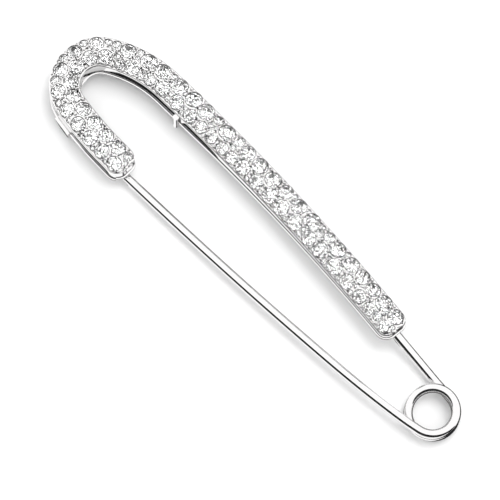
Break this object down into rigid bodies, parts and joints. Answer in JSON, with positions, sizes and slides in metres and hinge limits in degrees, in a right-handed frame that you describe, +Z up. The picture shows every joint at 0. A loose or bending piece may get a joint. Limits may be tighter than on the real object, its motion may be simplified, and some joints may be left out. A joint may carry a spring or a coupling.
{
  "type": "veil pin",
  "caption": "Long safety pin with a bent casing set with crystals, a coil spring and a pin leg that swings inwards out of its catch.",
  "frame": {"origin": "middle of the footprint, on the surface that the pin lies on", "axes": "+X from the hook to the coil along the pin's length, +Y from the pin leg to the long limb, +Z up from the surface through the crystal-set face"},
  "size_m": [0.08, 0.0178, 0.0052],
  "materials": {
    "plated_casting": "polished",
    "plated_spring_wire": "polished",
    "cut_crystal": "faceted, foiled back"
  },
  "bodies": {
    "frame": {"casing": "plated_casting", "coil": "plated_spring_wire", "large_crystals": "cut_crystal", "small_crystals": "cut_crystal"},
    "pin": {"pin_leg": "plated_spring_wire"}
  },
  "joints": [
    {"name": "pin_open", "type": "hinge", "parent": "frame", "child": "pin", "pos_m": [0.03586, -0.00105, 0.0022], "axis": [0, 0, -1], "range_deg": [0, 6.5], "stiffness_Nm_per_rad": 0.1, "springref_deg": -5.16}
  ]
}
